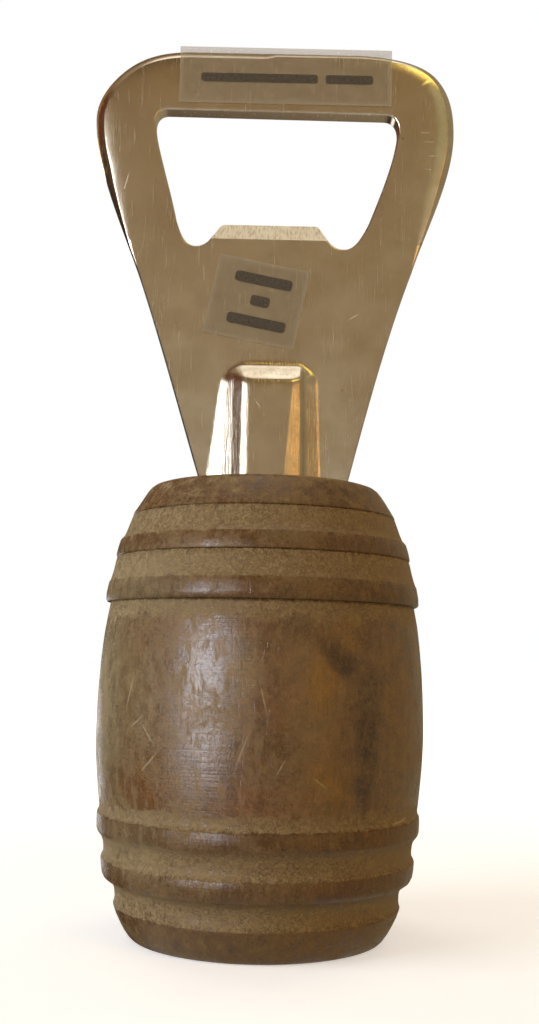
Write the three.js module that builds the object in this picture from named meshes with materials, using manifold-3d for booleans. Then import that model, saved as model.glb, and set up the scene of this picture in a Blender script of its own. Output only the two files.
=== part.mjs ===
// Bottle opener with a turned wooden barrel for a handle.
// Millimetres, +Z up. The origin is the centre of the barrel's flat base, on the barrel's axis.
// The front, with the rib and the labels, faces -Y, and +X is to the right seen from the front.

import * as THREE from 'three';
import { mergeVertices } from 'three/addons/utils/BufferGeometryUtils.js';
import { ConvexGeometry } from 'three/addons/geometries/ConvexGeometry.js';
import Module from 'manifold-3d';

const wasm = await Module();
wasm.setup();

// ---- Driving dimensions ----------------------------------------------------------------------

// Barrel handle
const BARREL_H = 62.3; // base to top face
const BARREL_SIDES = 60; // facets round the barrel
const BASE_R = 17.5; // flat base
const BELLY_R = 23.05; // widest turn of the belly
const TOP_R = 15.4; // flat top

// Opener head
const PLATE_T = 3; // sheet thickness
const PLATE_FRONT = -PLATE_T / 2; // y of the front face
const HEAD_X = 1.1; // the tang stands this far right of the barrel's axis
const HEAD_TOP = 129.2; // z of the top edge
const EDGE_ROLL = 0.8; // rounding of the sheet's outer edge

// Cap opening and lifting lip
const BAR_LOW = 119.4; // z of the underside of the top bar
const LIP_TOP = 102.4; // z of the lip's tip
const LIP_HALF_W = 6.9; // half the lip's width at its tip
const LIP_BEVEL_LOW = 99.4; // z where the ground bevel meets the front face
const LIP_LAND = 0.8; // thickness left at the tip
const GULLET_X = 10.9; // from the barrel's axis to the middle of each gullet
const GULLET_LOW = 98.3; // z of the bottom of each gullet

// Stiffening rib, pressed forward out of the sheet
const RIB_TOP = 80.9;
const RIB_FOOT = 57; // lower end, inside the handle
const RIB_H_TOP = 2.1; // height above the front face at the upper end
const RIB_H_FOOT = 2.7; // and at the foot, where the rib is deepest
const RIB_END_SLOPE = 2.4; // height of the slope at the rib's upper end
const RIB_BASE = { topLeft: -6.5, topRight: 7.1, footLeft: -8.1, footRight: 8.1 };
const RIB_FACE = { topLeft: -3.1, topRight: 4.3, footLeft: -3.5, footRight: 4.3 };
const GROOVE_DEPTH = 1.4; // depth of the matching groove in the back
const GROOVE_INSET = 1.4; // the groove is this much narrower on each side than the rib

// Tang, mortise and resin
const SHOULDER_Z = 56;
const SHOULDER_HALF_W = 9;
const TANG_HALF_W = 6;
const TANG_FOOT_Z = 28;
const TANG_CHAMFER = 2;
const KEY_HOLE_R = 2;
const KEY_HOLE_Z = [36, 47];
const GLUE_LINE = 0.9; // resin thickness round the tang
const GLUE_GAP = 0.15; // gap kept between the resin and the faces it bonds
const GLUE_TOP = BARREL_H - 0.6; // the resin stops just under the barrel's top face
const MOUTH_HALF_W = 11.4; // half the length of the mortise's mouth

// Labels, clear film stuck on the front face
const FILM_T = 0.15;
const FILM_GAP = 0.05; // gap kept between film and plate
const CARE_LABEL = { x: 1.9, z: 124.95, width: 31.9, height: 8.8, turn: 0 };
const ORIGIN_LABEL = { x: -1.8, z: 90, width: 13.6, height: 12.1, turn: 11 };

// ---- Materials -------------------------------------------------------------------------------

const platedSteel = new THREE.MeshStandardMaterial({ color: '#b9b2a4', roughness: 0.16, metalness: 1 });
const turnedWood = new THREE.MeshStandardMaterial({ color: '#7a6046', roughness: 0.55, metalness: 0 });
const curedResin = new THREE.MeshStandardMaterial({ color: '#b79c62', roughness: 0.35, metalness: 0 });
const clearFilm = new THREE.MeshStandardMaterial({
  color: '#9a917e',
  roughness: 0.4,
  metalness: 0,
  transparent: true,
  opacity: 0.55,
});

// ---- Helpers ---------------------------------------------------------------------------------

/** A manifold-3d solid from a closed three.js geometry. */
function toSolid(geometry) {
  const bare = geometry.clone();
  bare.deleteAttribute('normal');
  bare.deleteAttribute('uv');
  const merged = mergeVertices(bare, 1e-4);
  const vertProperties = new Float32Array(merged.attributes.position.array);
  const triVerts = new Uint32Array(merged.index.array);
  return new wasm.Manifold(new wasm.Mesh({ numProp: 3, vertProperties, triVerts }));
}

/** A three.js geometry from a manifold-3d solid. */
function toGeometry(solid) {
  const mesh = solid.getMesh();
  const geometry = new THREE.BufferGeometry();
  geometry.setAttribute('position', new THREE.BufferAttribute(mesh.vertProperties, 3));
  geometry.setIndex(new THREE.BufferAttribute(mesh.triVerts, 1));
  geometry.computeVertexNormals();
  return geometry;
}

/** Extrudes a shape drawn as (x, z) from y = front to y = back, with its edges rounded by roll. */
function slab(shape, front, back, roll = 0) {
  const geometry = new THREE.ExtrudeGeometry(shape, {
    depth: back - front - 2 * roll,
    curveSegments: 6,
    bevelEnabled: roll > 0,
    bevelThickness: roll,
    bevelSize: roll,
    bevelOffset: -roll,
    bevelSegments: 3,
  });
  geometry.rotateX(Math.PI / 2);
  geometry.translate(0, back - roll, 0);
  return geometry;
}

/** A rectangle drawn as (x, z). */
function rectangle(left, right, low, high) {
  const shape = new THREE.Shape();
  shape.moveTo(left, low);
  shape.lineTo(right, low);
  shape.lineTo(right, high);
  shape.lineTo(left, high);
  shape.closePath();
  return shape;
}

// ---- Barrel handle ---------------------------------------------------------------------------

/** Half of the barrel's outline as (radius, z), from the centre of its base to the centre of its top. */
function barrelProfile() {
  const profile = new THREE.Path();
  profile.moveTo(0, 0);
  profile.lineTo(BASE_R, 0);
  // base band
  profile.quadraticCurveTo(18.1, 0.1, 18.4, 1.1);
  profile.quadraticCurveTo(19.1, 2.5, 19.95, 4.5);
  profile.lineTo(19.8, 5.1);
  // cove over the base band
  profile.lineTo(20, 6.9);
  profile.lineTo(20.5, 7.7);
  profile.lineTo(21.2, 8.1);
  // lowest hoop
  profile.quadraticCurveTo(21.7, 9.3, 21.8, 10.8);
  profile.lineTo(21.5, 11.6);
  // cove between the two lower hoops
  profile.lineTo(21.8, 13.7);
  profile.lineTo(22.45, 14.4);
  // hoop under the belly
  profile.lineTo(22.5, 16.6);
  profile.lineTo(22.25, 17.5);
  // belly
  profile.quadraticCurveTo(BELLY_R, 23, BELLY_R, 28.5);
  profile.quadraticCurveTo(BELLY_R, 36, 21.7, 45.3);
  profile.lineTo(22.3, 45.8);
  // hoop over the belly
  profile.lineTo(22, 48.4);
  profile.lineTo(21.7, 48.7);
  // cove under the neck hoop
  profile.lineTo(21.1, 51.9);
  // neck hoop
  profile.lineTo(20.5, 54.5);
  profile.lineTo(20.1, 54.7);
  // neck cove
  profile.lineTo(18.8, 58);
  // top band
  profile.quadraticCurveTo(17.6, 60.4, 16.5, 61.7);
  profile.lineTo(TOP_R, BARREL_H);
  profile.lineTo(0, BARREL_H);
  return profile.getPoints(5);
}

/** The cavity cut for the tang: a mouth for the plate, a pocket for the rib and a deep narrow slot. */
function mortise(inset) {
  const top = BARREL_H + 1;
  const back = PLATE_T / 2 + GLUE_LINE - inset;
  const front = PLATE_FRONT - GLUE_LINE + inset;
  const ribFront = PLATE_FRONT - RIB_H_FOOT - GLUE_LINE + inset;
  const side = GLUE_LINE - inset;
  const mouthHalf = MOUTH_HALF_W - inset;
  const slotHalf = TANG_HALF_W + side;
  const mouth = rectangle(HEAD_X - mouthHalf, HEAD_X + mouthHalf, SHOULDER_Z - side, top);
  const pocket = rectangle(RIB_BASE.footLeft - side, RIB_BASE.footRight + side, RIB_FOOT - side, top);
  const slot = rectangle(HEAD_X - slotHalf, HEAD_X + slotHalf, TANG_FOOT_Z - side, top);
  return toSolid(slab(mouth, front, back))
    .add(toSolid(slab(pocket, ribFront, 0)))
    .add(toSolid(slab(slot, front, back)));
}

function barrelHandle() {
  const turned = new THREE.LatheGeometry(barrelProfile(), BARREL_SIDES);
  turned.rotateX(Math.PI / 2);
  return toSolid(turned).subtract(mortise(0));
}

// ---- Opener head -----------------------------------------------------------------------------

// The head was dressed by hand, so its left and right edges differ a little. Each flank is given by
// its distance from the barrel's axis and its height.
const FLANK_LEFT = [
  [9.1, 62],
  [11.4, 69],
  [13.8, 77.5],
  [16.6, 86.6],
  [19.2, 93.8],
  [21.5, 99.6],
  [23.8, 105.8],
  [25.7, 112],
  [26.5, 118],
];
const FLANK_RIGHT = [
  [11.6, 62],
  [13.5, 69.8],
  [15.7, 78],
  [18.3, 87],
  [20.9, 94.7],
  [22.8, 100.3],
  [24.8, 105.5],
  [26.6, 110.8],
  [27.4, 116],
];

/** The outline of the sheet as (x, z), head and tang together. */
function headOutline() {
  const left = FLANK_LEFT.map(([x, z]) => new THREE.Vector2(-x, z));
  const right = FLANK_RIGHT.map(([x, z]) => new THREE.Vector2(x, z));
  const shape = new THREE.Shape();
  shape.moveTo(HEAD_X - TANG_HALF_W + TANG_CHAMFER, TANG_FOOT_Z);
  shape.lineTo(HEAD_X + TANG_HALF_W - TANG_CHAMFER, TANG_FOOT_Z);
  shape.lineTo(HEAD_X + TANG_HALF_W, TANG_FOOT_Z + TANG_CHAMFER);
  shape.lineTo(HEAD_X + TANG_HALF_W, SHOULDER_Z);
  shape.lineTo(HEAD_X + SHOULDER_HALF_W, SHOULDER_Z);
  shape.lineTo(right[0].x, right[0].y);
  shape.splineThru(right.slice(1));
  shape.bezierCurveTo(27.6, 120.3, 26.9, 123.6, 24.4, 126.15);
  shape.bezierCurveTo(22.6, 127.8, 19.5, 128.9, 13.5, HEAD_TOP);
  shape.lineTo(-12.5, HEAD_TOP);
  shape.bezierCurveTo(-17.6, 129.1, -20.3, 127.75, -22.5, 125.83);
  shape.bezierCurveTo(-25.2, 123.4, -26.6, 120.6, -26.5, 118);
  shape.splineThru(left.reverse().slice(1));
  shape.lineTo(HEAD_X - SHOULDER_HALF_W, SHOULDER_Z);
  shape.lineTo(HEAD_X - TANG_HALF_W, SHOULDER_Z);
  shape.lineTo(HEAD_X - TANG_HALF_W, TANG_FOOT_Z + TANG_CHAMFER);
  shape.closePath();
  return shape;
}

/** The cap opening: wide under the top bar, with a round gullet on each side of the lip. */
function capOpening() {
  const shape = new THREE.Shape();
  shape.moveTo(-LIP_HALF_W, LIP_TOP);
  shape.lineTo(LIP_HALF_W, LIP_TOP);
  shape.bezierCurveTo(7.9, 102, 8.1, GULLET_LOW, GULLET_X, GULLET_LOW);
  shape.bezierCurveTo(12.3, GULLET_LOW, 13.2, 99.3, 14.6, 102.2);
  shape.bezierCurveTo(16.2, 106.4, 18.1, 111.2, 18.9, 116.2);
  shape.quadraticCurveTo(19.1, BAR_LOW, 16.9, BAR_LOW);
  shape.lineTo(-15.6, BAR_LOW);
  shape.quadraticCurveTo(-17.7, BAR_LOW, -17.4, 116.3);
  shape.bezierCurveTo(-16.6, 111.9, -14.9, 106.9, -13.9, 102.2);
  shape.bezierCurveTo(-13.2, 100, -12.6, GULLET_LOW, -GULLET_X, GULLET_LOW);
  shape.bezierCurveTo(-8.3, GULLET_LOW, -8, 102.1, -LIP_HALF_W, LIP_TOP);
  return shape;
}

/** The wedge ground off the front of the lip. */
function lipBevel() {
  const halfWidth = LIP_HALF_W + 2.2;
  const points = [];
  for (const x of [-halfWidth, halfWidth]) {
    points.push(new THREE.Vector3(x, PLATE_FRONT - 1, LIP_BEVEL_LOW - 1));
    points.push(new THREE.Vector3(x, PLATE_T / 2 - LIP_LAND, LIP_TOP));
    points.push(new THREE.Vector3(x, PLATE_T / 2 - LIP_LAND, LIP_TOP + 1));
    points.push(new THREE.Vector3(x, PLATE_FRONT - 1, LIP_TOP + 1));
  }
  return new ConvexGeometry(points);
}

/** A prism with sloping flanks. Each outline has its y at the top and foot, and its own height. */
function taperedPrism(outlines) {
  const points = [];
  for (const side of outlines) {
    const corner = (side.topRight - side.topLeft) * 0.12;
    points.push(new THREE.Vector3(side.footLeft, side.yFoot, RIB_FOOT));
    points.push(new THREE.Vector3(side.footRight, side.yFoot, RIB_FOOT));
    points.push(new THREE.Vector3(side.topRight, side.yTop, side.high - corner));
    points.push(new THREE.Vector3(side.topRight - corner, side.yTop, side.high));
    points.push(new THREE.Vector3(side.topLeft + corner, side.yTop, side.high));
    points.push(new THREE.Vector3(side.topLeft, side.yTop, side.high - corner));
  }
  return new ConvexGeometry(points);
}

/** An outline narrowed by the same amount on both sides. */
function narrowed(outline, by) {
  return {
    topLeft: outline.topLeft + by,
    topRight: outline.topRight - by,
    footLeft: outline.footLeft + by,
    footRight: outline.footRight - by,
  };
}

function raisedRib() {
  const root = PLATE_FRONT + 0.2;
  const face = { ...RIB_FACE, yTop: PLATE_FRONT - RIB_H_TOP, yFoot: PLATE_FRONT - RIB_H_FOOT };
  return taperedPrism([
    { ...face, high: RIB_TOP - RIB_END_SLOPE },
    { ...RIB_BASE, yTop: root, yFoot: root, high: RIB_TOP },
  ]);
}

function backGroove() {
  const back = PLATE_T / 2;
  const mouthY = back + 0.2;
  const floorY = back - GROOVE_DEPTH;
  const floor = narrowed(RIB_FACE, GROOVE_INSET);
  const mouth = narrowed(RIB_BASE, GROOVE_INSET);
  return taperedPrism([
    { ...floor, yTop: floorY, yFoot: floorY, high: RIB_TOP - RIB_END_SLOPE - GROOVE_INSET },
    { ...mouth, yTop: mouthY, yFoot: mouthY, high: RIB_TOP - GROOVE_INSET },
  ]);
}

/** A hole through the tang that the resin keys into. */
function keyHole(z) {
  const drill = new THREE.CylinderGeometry(KEY_HOLE_R, KEY_HOLE_R, PLATE_T + 2, 20);
  drill.translate(HEAD_X, 0, z);
  return drill;
}

function openerHead() {
  const blank = toSolid(slab(headOutline(), PLATE_FRONT, PLATE_T / 2, EDGE_ROLL));
  const opening = toSolid(slab(capOpening(), PLATE_FRONT - 1, PLATE_T / 2 + 1));
  let head = blank.subtract(opening);
  head = head.subtract(toSolid(lipBevel()));
  head = head.add(toSolid(raisedRib()));
  head = head.subtract(toSolid(backGroove()));
  for (const z of KEY_HOLE_Z) {
    head = head.subtract(toSolid(keyHole(z)));
  }
  return head;
}

// ---- Resin round the tang --------------------------------------------------------------------

/** What the mortise holds once the tang is in, drawn back by the glue gap on every side. */
function tangAdhesive(head) {
  const above = rectangle(-BELLY_R, BELLY_R, GLUE_TOP, BARREL_H + 2);
  let resin = mortise(GLUE_GAP).subtract(toSolid(slab(above, -BELLY_R, BELLY_R)));
  const shifts = [
    [GLUE_GAP, 0, 0],
    [-GLUE_GAP, 0, 0],
    [0, GLUE_GAP, 0],
    [0, -GLUE_GAP, 0],
    [0, 0, GLUE_GAP],
    [0, 0, -GLUE_GAP],
  ];
  for (const shift of shifts) {
    resin = resin.subtract(head.translate(shift));
  }
  return resin;
}

// ---- Labels ----------------------------------------------------------------------------------

/** A rectangle of film, turned clockwise by label.turn degrees seen from the front. */
function filmLabel(label) {
  const outline = rectangle(-label.width / 2, label.width / 2, -label.height / 2, label.height / 2);
  const back = PLATE_FRONT - FILM_GAP;
  const film = slab(outline, back - FILM_T, back);
  film.rotateY(THREE.MathUtils.degToRad(label.turn));
  film.translate(label.x, 0, label.z);
  return film;
}

// ---- Assembly --------------------------------------------------------------------------------

const opener = new THREE.Group();

function place(name, geometry, material) {
  const mesh = new THREE.Mesh(geometry, material);
  mesh.name = name;
  opener.add(mesh);
}

const head = openerHead();
place('barrel_handle', toGeometry(barrelHandle()), turnedWood);
place('opener_head', toGeometry(head), platedSteel);
place('tang_adhesive', toGeometry(tangAdhesive(head)), curedResin);
place('care_label', filmLabel(CARE_LABEL), clearFilm);
place('origin_label', filmLabel(ORIGIN_LABEL), clearFilm);

export default opener;
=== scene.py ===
"""Looks of a barrel-handled bottle opener: a plated steel head glued into a turned wooden cask.

Everything is in metres in the frame's own axes: +Z up, the front faces -Y and +X is to the right.
"""

import math

import bmesh
import bpy
from bpy.props import FloatProperty, FloatVectorProperty, IntProperty, PointerProperty
from mathutils import Matrix, Vector, noise


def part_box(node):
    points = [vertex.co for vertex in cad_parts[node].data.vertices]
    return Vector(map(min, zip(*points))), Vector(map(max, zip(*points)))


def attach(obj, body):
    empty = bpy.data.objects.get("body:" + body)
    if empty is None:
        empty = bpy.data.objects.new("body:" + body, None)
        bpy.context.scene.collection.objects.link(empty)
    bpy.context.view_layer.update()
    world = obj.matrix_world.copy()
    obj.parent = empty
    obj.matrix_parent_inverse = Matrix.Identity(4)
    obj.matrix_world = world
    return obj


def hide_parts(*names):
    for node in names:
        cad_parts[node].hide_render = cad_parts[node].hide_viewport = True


bl_info = {
    "name": "Barrel-Handled Bottle Opener",
    "version": (1, 0, 0),
    "blender": (4, 5, 0),
    "location": "3D View > Sidebar > Opener",
    "description": "Builds the plated head, turned handle, resin and film labels of a bottle opener",
    "category": "Object",
}

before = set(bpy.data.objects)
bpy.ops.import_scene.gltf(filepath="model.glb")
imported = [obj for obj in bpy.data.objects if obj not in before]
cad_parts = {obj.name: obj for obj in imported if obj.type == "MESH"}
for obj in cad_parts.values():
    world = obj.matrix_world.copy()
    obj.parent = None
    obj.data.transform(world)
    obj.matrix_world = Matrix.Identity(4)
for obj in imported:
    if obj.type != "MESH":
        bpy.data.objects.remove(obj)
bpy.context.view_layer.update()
MM = 0.001
BODY = "root"

HEAD_LOW, HEAD_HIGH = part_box("opener_head")
CARE_LOW, CARE_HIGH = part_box("care_label")
ORIGIN_LOW, ORIGIN_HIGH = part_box("origin_label")

PLATE_T = 2 * HEAD_HIGH.y
PLATE_FRONT = -PLATE_T / 2
HEAD_TOP = HEAD_HIGH.z
TANG_FOOT = HEAD_LOW.z
HANDLE_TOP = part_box("barrel_handle")[1].z


# ---- Colour and nodes ------------------------------------------------------------------------


def linear(hex_colour, alpha=1.0):
    """An sRGB hex colour as linear RGBA."""
    channels = [int(hex_colour[i : i + 2], 16) / 255 for i in (1, 3, 5)]
    made = [c / 12.92 if c <= 0.04045 else ((c + 0.055) / 1.055) ** 2.4 for c in channels]
    return (*made, alpha)


def add(tree, kind, links=None, stops=None, **settings):
    """Adds a shader node. links gives an input, by name or number, its value or what to link.

    stops holds a colour ramp's positions and colours.
    """
    made = tree.nodes.new("ShaderNode" + kind)
    for key, value in settings.items():
        setattr(made, key, value)
    for key, value in (links or {}).items():
        if isinstance(key, str):
            socket = next(s for s in made.inputs if s.enabled and s.name == key)
        else:
            socket = made.inputs[key]
        if isinstance(value, bpy.types.Node):
            value = next(s for s in value.outputs if s.enabled)
        if isinstance(value, bpy.types.NodeSocket):
            tree.links.new(value, socket)
        else:
            socket.default_value = value
    if stops:
        elements = made.color_ramp.elements
        while len(elements) < len(stops):
            elements.new(0.5)
        for element, (position, colour) in zip(elements, stops):
            element.position = position
            element.color = colour
    return made


WHITE = (1.0, 1.0, 1.0, 1.0)


def new_material(name):
    """An empty material and its node tree."""
    material = bpy.data.materials.new(name)
    material.use_nodes = True
    material.node_tree.nodes.clear()
    return material, material.node_tree


def surface(tree, sockets):
    """Ends a material with its shader. sockets holds the shader's values and what it links to."""
    add(tree, "OutputMaterial", {"Surface": add(tree, "BsdfPrincipled", sockets)})


# ---- Outlines --------------------------------------------------------------------------------


def curve(start, first, second, end, count):
    """Points of a cubic curve after its start, up to and with its end."""
    made = []
    for i in range(1, count + 1):
        t = i / count
        s = 1 - t
        a, b, c, d = s**3, 3 * s * s * t, 3 * s * t * t, t**3
        x = a * start[0] + b * first[0] + c * second[0] + d * end[0]
        z = a * start[1] + b * first[1] + c * second[1] + d * end[1]
        made.append((x, z))
    return made


def straight(start, end, count):
    """Points of a straight line after its start, up to and with its end."""
    made = []
    for i in range(1, count + 1):
        t = i / count
        made.append((start[0] + (end[0] - start[0]) * t, start[1] + (end[1] - start[1]) * t))
    return made


def in_metres(points):
    """Points in millimetres made metres."""
    return [(x * MM, z * MM) for x, z in points]


def outward(points):
    """Unit normals of a closed outline that runs anticlockwise, lengthened at its corners."""
    made = []
    count = len(points)
    for i in range(count):
        before = Vector(points[i - 1])
        here = Vector(points[i])
        after = Vector(points[(i + 1) % count])
        into = (here - before).normalized()
        out = (after - here).normalized()
        side = Vector((into.y, -into.x)) + Vector((out.y, -out.x))
        side.normalize()
        stretch = max(0.5, side.dot(Vector((into.y, -into.x))))
        made.append(side / stretch)
    return made


# ---- Mesh helpers ----------------------------------------------------------------------------


def flat_ring(bm, points, z):
    """A closed loop of edges through (x, y) points at one height."""
    verts = [bm.verts.new((x, y, z)) for x, y in points]
    return [bm.edges.new((verts[i - 1], verts[i])) for i in range(len(verts))]


def bridge(bm, first, second):
    """Faces between two closed loops of edges."""
    bmesh.ops.bridge_loops(bm, edges=first + second)


def rim(bm, points, rolls, steps, grow, shoulders=None, flat=0.0):
    """The rounded edge wall of a plate cut along an outline, from its front loop to its back loop.

    rolls holds the edge's radius at each point. grow is 1 where the metal lies outside the
    outline, as round an opening, and -1 where it lies inside. shoulders holds (width, drop) of the
    soft fall from the flat face to the roll. flat is 0 for a round roll and 1 for a chamfer.
    """
    normals = outward(points)
    half = PLATE_T / 2
    shoulders = shoulders or [(0.0, 0.0)] * len(points)
    levels = [(-1, i) for i in range(steps + 1)] + [(1, steps - i) for i in range(steps + 1)]
    if max(width for width, _ in shoulders) > 0:
        levels = [(-1, -1)] + levels + [(1, -1)]
    loops = []
    for side, step in levels:
        turned = 1 - max(0, step) / steps
        angle = math.pi / 2 * turned
        verts = []
        for point, normal, roll, (width, drop) in zip(points, normals, rolls, shoulders):
            inset = roll * (flat * turned + (1 - flat) * (1 - math.cos(angle)))
            depth = drop + roll * (flat * (1 - turned) + (1 - flat) * (1 - math.sin(angle)))
            if step < 0:
                inset, depth = inset + width, 0.0
            place = Vector(point) + normal * inset * grow
            verts.append(bm.verts.new((place.x, side * (half - depth), place.y)))
        loops.append([bm.edges.new((verts[k - 1], verts[k])) for k in range(len(verts))])
    for first, second in zip(loops, loops[1:]):
        bridge(bm, first, second)
    return loops[0], loops[-1]


# The sharpest turn between two faces, in degrees, that still shades smooth.
HANDLE_SMOOTH = 38
HEAD_SMOOTH = 32


def sharpen(bm, degrees):
    """Marks every face smooth and every edge steeper than this sharp."""
    limit = math.radians(degrees)
    for face in bm.faces:
        face.smooth = True
    for edge in bm.edges:
        edge.smooth = len(edge.link_faces) != 2 or edge.calc_face_angle(0) < limit


def finish_mesh(bm, name, materials):
    """Turns a bmesh into a piece with its faces outwards and its materials in place."""
    bmesh.ops.remove_doubles(bm, verts=bm.verts, dist=1e-7)
    bmesh.ops.recalc_face_normals(bm, faces=bm.faces)
    mesh = bpy.data.meshes.new(name)
    bm.to_mesh(mesh)
    bm.free()
    for material in materials:
        mesh.materials.append(material)
    piece = bpy.data.objects.new(name, mesh)
    bpy.context.scene.collection.objects.link(piece)
    return piece


def settle(piece, slot, *nodes):
    """The piece rides on the one body and stands for its CAD nodes. Its slot is not used."""
    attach(piece, BODY)
    if nodes:
        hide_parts(*nodes)


# ---- Handle ----------------------------------------------------------------------------------

# The mortise in millimetres. Its mouth takes the plate's shoulders and the rib, its slot the tang.
GLUE_LINE = 0.9
MOUTH_HALF = 11.4
MOUTH_RIB = (-8.4, 8.5)
MOUTH_FLOOR = 55.1
MOUTH_LIP = 0.3
SLOT_HALF = 6.9

# Turned outline of the barrel: (radius, height) in millimetres, then how dusty the wood is there
# and how much stain it holds, both from 0 to 1. The scribed lines hold most: under each hoop's
# ledge that darkness is partly real stain and partly painted shade.
BASE_BAND = [
    (0.0, 0.0, 0.3, 0),
    (6.0, 0.0, 0.3, 0),
    (12.0, 0.0, 0.3, 0),
    (17.0, 0.0, 0.2, 0.4),
    (17.45, 0.12, 0.1, 0.4),
    (17.9, 0.5, 0.0, 0.4),
    (18.4, 1.2, 0.0, 0.4),
    (18.95, 2.2, 0.0, 0.4),
    (19.5, 3.3, 0.0, 0.4),
    (19.9, 4.35, 0.1, 0.4),
]
LOW_COVE = [
    (19.8, 4.62, 0.8, 0.6),
    (19.72, 5.2, 1, 0),
    (19.78, 6.2, 1, 0),
    (19.95, 6.9, 1, 0),
    (20.35, 7.5, 0.9, 0),
    (20.9, 7.85, 0.5, 0.3),
]
LOW_HOOP = [
    (21.3, 8.15, 0.2, 0.35), (21.58, 8.7, 0.0, 0.4), (21.74, 9.6, 0.0, 0.4), (21.82, 10.5, 0.1, 0.4)
]
MIDDLE_COVE = [
    (21.72, 10.85, 0.6, 0.5),
    (21.45, 11.3, 1, 0),
    (21.45, 12.0, 1, 0),
    (21.58, 12.9, 1, 0),
    (21.8, 13.6, 1, 0),
    (22.1, 13.95, 0.6, 0.2),
]
BELLY_HOOP = [
    (22.38, 14.3, 0.2, 0.35),
    (22.5, 14.7, 0.0, 0.45),
    (22.54, 15.6, 0.0, 0.45),
    (22.52, 16.5, 0.0, 0.5),
    (22.46, 16.8, 0.5, 0.9),
    (22.28, 17.05, 1, 0),
    (22.22, 17.6, 0.8, 0),
]
BELLY_LOW, BELLY_WIDE, BELLY_HIGH = (22.22, 17.7), (23.05, 28.5), (21.7, 45.1)
OVER_HOOP = [
    (21.64, 45.36, 0.9, 1),
    (21.76, 45.48, 0.2, 1),
    (22.12, 45.58, 0.0, 0.5),
    (22.3, 45.85, 0.0, 0.35),
    (22.27, 46.7, 0.0, 0.4),
    (22.12, 47.6, 0.1, 0.4),
    (21.98, 48.3, 0.25, 0.3),
]
HIGH_COVE = [
    (21.8, 48.6, 1, 0),
    (21.6, 49.2, 1, 0),
    (21.32, 50.2, 1, 0),
    (21.1, 51.2, 1, 0),
    (20.98, 51.75, 0.9, 0.4),
]
NECK_HOOP = [
    (20.86, 51.92, 0.3, 1),
    (21.02, 52.08, 0.1, 0.5),
    (21.04, 52.3, 0.1, 0.3),
    (20.82, 53.3, 0.1, 0.3),
    (20.52, 54.3, 0.25, 0.3),
]
NECK_COVE = [
    (20.28, 54.6, 1, 0),
    (19.98, 54.9, 1, 0),
    (19.62, 55.8, 1, 0),
    (19.22, 56.9, 1, 0),
    (18.9, 57.75, 0.9, 0.4),
]
TOP_BAND = [
    (18.74, 57.9, 0.3, 1),
    (18.84, 58.06, 0.1, 0.5),
    (18.74, 58.3, 0.25, 0.25),
    (18.12, 59.3, 0.3, 0.3),
    (17.38, 60.5, 0.3, 0.3),
    (16.82, 61.3, 0.35, 0.3),
    (16.45, 61.75, 0.35, 0.25),
    (16.0, 62.1, 0.3, 0.1),
    (15.4, 62.3, 0.5, 0),
]


# The chisel's wander leaves the flat base and its eased edge alone: radius and height.
BASE_FLAT, BASE_EASE = 17, 0.4


def belly():
    """The barrel's long swelling side. The wood is dusty just above and below its hoops."""
    low_z, high_z = BELLY_LOW[1], BELLY_HIGH[1]
    wide_x = BELLY_WIDE[0]
    rising = curve(BELLY_LOW, (22.75, 21.3), (wide_x, 24.9), BELLY_WIDE, 14)
    falling = curve(BELLY_WIDE, (wide_x, 33.5), (22.65, 40.5), BELLY_HIGH, 22)
    made = []
    for radius, height in rising + falling:
        near_low = max(0.0, 1 - (height - low_z) / 1.6)
        near_high = max(0.0, 1 - (high_z - height) / 3.6)
        made.append((radius, height, 0.85 * max(near_low, near_high), 0))
    return made


def barrel_profile():
    """Every station of the barrel's outline, from the middle of its base to its top face."""
    bands = [BASE_BAND, LOW_COVE, LOW_HOOP, MIDDLE_COVE, BELLY_HOOP, belly()]
    bands += [OVER_HOOP, HIGH_COVE, NECK_HOOP, NECK_COVE, TOP_BAND]
    return [station for band in bands for station in band]


def mouth_outline(clearance):
    """The mortise's mouth as (x, y): a slot for the plate with a pocket in front for the rib."""
    half = MOUTH_HALF * MM + clearance
    back = PLATE_T / 2 + GLUE_LINE * MM + clearance
    front = -back
    rib_left, rib_right = MOUTH_RIB[0] * MM - clearance, MOUTH_RIB[1] * MM + clearance
    rib_front = HEAD_LOW.y - GLUE_LINE * MM - clearance
    left, right = TANG_X * MM - half, TANG_X * MM + half
    corners = [(left, back), (left, front), (rib_left, front), (rib_left, rib_front)]
    corners += [(rib_right, rib_front), (rib_right, front), (right, front), (right, back)]
    made = []
    for i, corner in enumerate(corners):
        made += straight(corners[i - 1], corner, 6)
    return made


def slot_outline():
    """The deep, narrow part of the mortise as (x, y)."""
    half = SLOT_HALF * MM
    back = PLATE_T / 2 + GLUE_LINE * MM
    left, right = TANG_X * MM - half, TANG_X * MM + half
    corners = [(left, back), (left, -back), (right, -back), (right, back)]
    made = []
    for i, corner in enumerate(corners):
        made += straight(corners[i - 1], corner, 4)
    return made


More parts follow.
